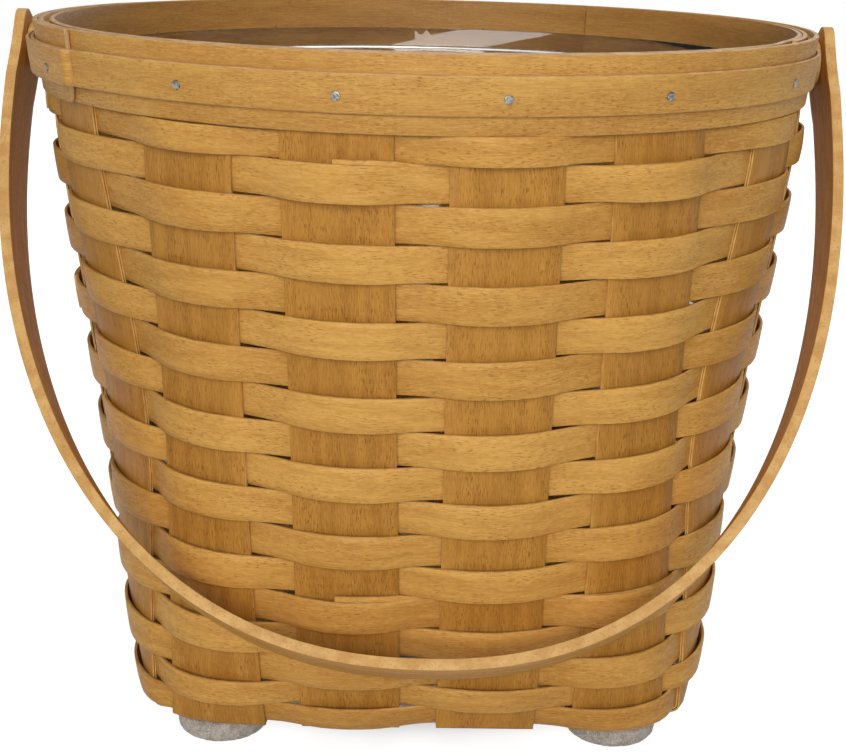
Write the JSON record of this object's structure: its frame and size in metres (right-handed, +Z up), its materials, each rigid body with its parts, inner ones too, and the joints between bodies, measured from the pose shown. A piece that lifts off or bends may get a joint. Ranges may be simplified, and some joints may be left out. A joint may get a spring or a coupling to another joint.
{
  "type": "measuring basket",
  "caption": "Round-rimmed, square-based woven splint basket with a swing-down bail handle, a lift-out clear liner and felt feet.",
  "frame": {"origin": "on the floor under the middle of the bounding box, midway between the handle's legs", "axes": "+X to the right along the handle's pivot line, +Y to the back, +Z up"},
  "size_m": [0.3566, 0.3334, 0.2918],
  "materials": {
    "stake_splint": "satin honey stain, grain running up",
    "weaver_splint": "satin honey stain, grain running round",
    "rim_band": "satin honey stain, grain running round",
    "handle_wood": "satin honey stain, bent strip",
    "nail": "dull",
    "rivet": "dull",
    "liner": "clear, glossy",
    "felt": "pressed felt"
  },
  "bodies": {
    "basket": {"splint_front_back_1": "stake_splint", "splint_front_back_2": "stake_splint", "splint_front_back_3": "stake_splint", "splint_front_back_4": "stake_splint", "splint_left_right_1": "stake_splint", "splint_left_right_2": "stake_splint", "splint_left_right_3": "stake_splint", "splint_left_right_4": "stake_splint", "weaver_01": "weaver_splint", "weaver_02": "weaver_splint", "weaver_03": "weaver_splint", "weaver_04": "weaver_splint", "weaver_05": "weaver_splint", "weaver_06": "weaver_splint", "weaver_07": "weaver_splint", "weaver_08": "weaver_splint", "weaver_09": "weaver_splint", "weaver_10": "weaver_splint", "weaver_11": "weaver_splint", "weaver_12": "weaver_splint", "weaver_13": "weaver_splint", "weaver_14": "weaver_splint", "weaver_15": "weaver_splint", "weaver_16": "weaver_splint", "weaver_17": "weaver_splint", "weaver_18": "weaver_splint", "inner_band": "rim_band", "outer_band": "rim_band", "trim_strip": "rim_band", "nail_01": "nail", "nail_02": "nail", "nail_03": "nail", "nail_04": "nail", "nail_05": "nail", "nail_06": "nail", "nail_07": "nail", "nail_08": "nail", "nail_09": "nail", "nail_10": "nail", "nail_11": "nail", "nail_12": "nail", "nail_13": "nail", "nail_14": "nail", "nail_15": "nail", "nail_16": "nail", "spacer_left": "handle_wood", "spacer_right": "handle_wood", "rivet_left": "rivet", "rivet_right": "rivet", "foot_front_left": "felt", "foot_back_left": "felt", "foot_front_right": "felt", "foot_back_right": "felt"},
    "handle": {"handle": "handle_wood"},
    "liner": {"liner": "liner"}
  },
  "joints": [
    {"name": "handle_swing", "type": "hinge", "parent": "basket", "child": "handle", "pos_m": [0, 0, 0.2757], "axis": [-1, 0, 0], "range_deg": [0, 290]},
    {"name": "liner_lift", "type": "slide", "parent": "basket", "child": "liner", "axis": [0, 0, 1], "range_m": [0, 0.285]}
  ]
}
